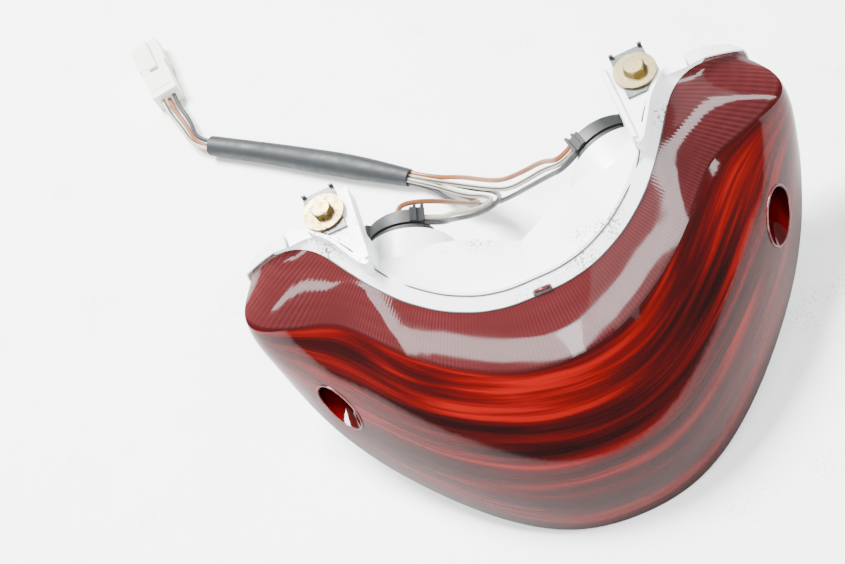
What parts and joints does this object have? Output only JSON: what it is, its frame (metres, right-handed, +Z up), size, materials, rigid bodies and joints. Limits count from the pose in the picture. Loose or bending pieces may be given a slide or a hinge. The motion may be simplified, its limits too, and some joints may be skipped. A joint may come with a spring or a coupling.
{
  "type": "motorcycle tail light",
  "caption": "Crescent rear lamp for a motorcycle: clear red one-piece lens on a white tub with two bolt-on tabs, twist-lock bulb holders and a sleeved wiring harness ending in a plug.",
  "frame": {"origin": "middle of the lamp's footprint on the bench, without the harness", "axes": "+X across the lamp to its right horn, -Y towards the tip of the lens, +Z up from the bench and along the mounting bolts; the lamp lies upside down as it rests on a bench"},
  "size_m": [0.3585, 0.4584, 0.1243],
  "materials": {
    "red_lens": "clear red moulded plastic, glossy",
    "white_housing": "white moulded plastic, lightly scuffed",
    "chrome": "vacuum metallised plastic",
    "brass": "nickelled brass",
    "clear_glass": "clear glass",
    "tungsten": "wire and glass stem",
    "black_rubber": "black moulded plastic",
    "black_gasket": "soft black rubber",
    "yellow_zinc": "yellow passivated zinc plate",
    "grey_zinc": "dull zinc plate",
    "dark_steel": "tarnished steel",
    "grey_sleeve": "dark slate grey vinyl sleeving",
    "nylon": "natural nylon, slightly translucent",
    "tin": "tinned brass",
    "wire_black": "vinyl insulation",
    "wire_white": "vinyl insulation with a black tracer stripe",
    "wire_brown": "vinyl insulation"
  },
  "bodies": {
    "lamp": {"lens": "red_lens", "housing": "white_housing", "reflector_panel": "chrome", "harness_sleeve": "grey_sleeve", "connector_housing": "nylon", "connector_terminals": "tin", "left_reflector_bowl": "chrome", "right_reflector_bowl": "chrome", "left_mounting_bolt": "yellow_zinc", "right_mounting_bolt": "yellow_zinc", "left_bolt_washer": "yellow_zinc", "right_bolt_washer": "yellow_zinc", "left_clip_nut": "grey_zinc", "right_clip_nut": "grey_zinc", "left_lens_screw": "dark_steel", "right_lens_screw": "dark_steel", "left_black_wire": "wire_black", "left_white_wire": "wire_white", "left_brown_wire": "wire_brown", "right_black_wire": "wire_black", "right_white_wire": "wire_white", "right_brown_wire": "wire_brown", "plug_black_wire": "wire_black", "plug_brown_wire": "wire_brown", "plug_white_wire": "wire_white"},
    "left_bulb_holder": {"left_bulb_base": "brass", "left_bulb_glass": "clear_glass", "left_bulb_filament": "tungsten", "left_socket": "black_rubber", "left_socket_gasket": "black_gasket", "left_socket_contact": "brass"},
    "right_bulb_holder": {"right_bulb_base": "brass", "right_bulb_glass": "clear_glass", "right_bulb_filament": "tungsten", "right_socket": "black_rubber", "right_socket_gasket": "black_gasket", "right_socket_contact": "brass"}
  },
  "joints": [
    {"name": "left_socket_twist", "type": "hinge", "parent": "lamp", "child": "left_bulb_holder", "pos_m": [-0.0574, 0.0662, 0.066], "axis": [-0.225, -0.9744, 0], "range_deg": [0, 30]},
    {"name": "right_socket_twist", "type": "hinge", "parent": "lamp", "child": "right_bulb_holder", "pos_m": [0.0574, 0.0662, 0.066], "axis": [-0.225, 0.9744, 0], "range_deg": [0, 30]}
  ]
}
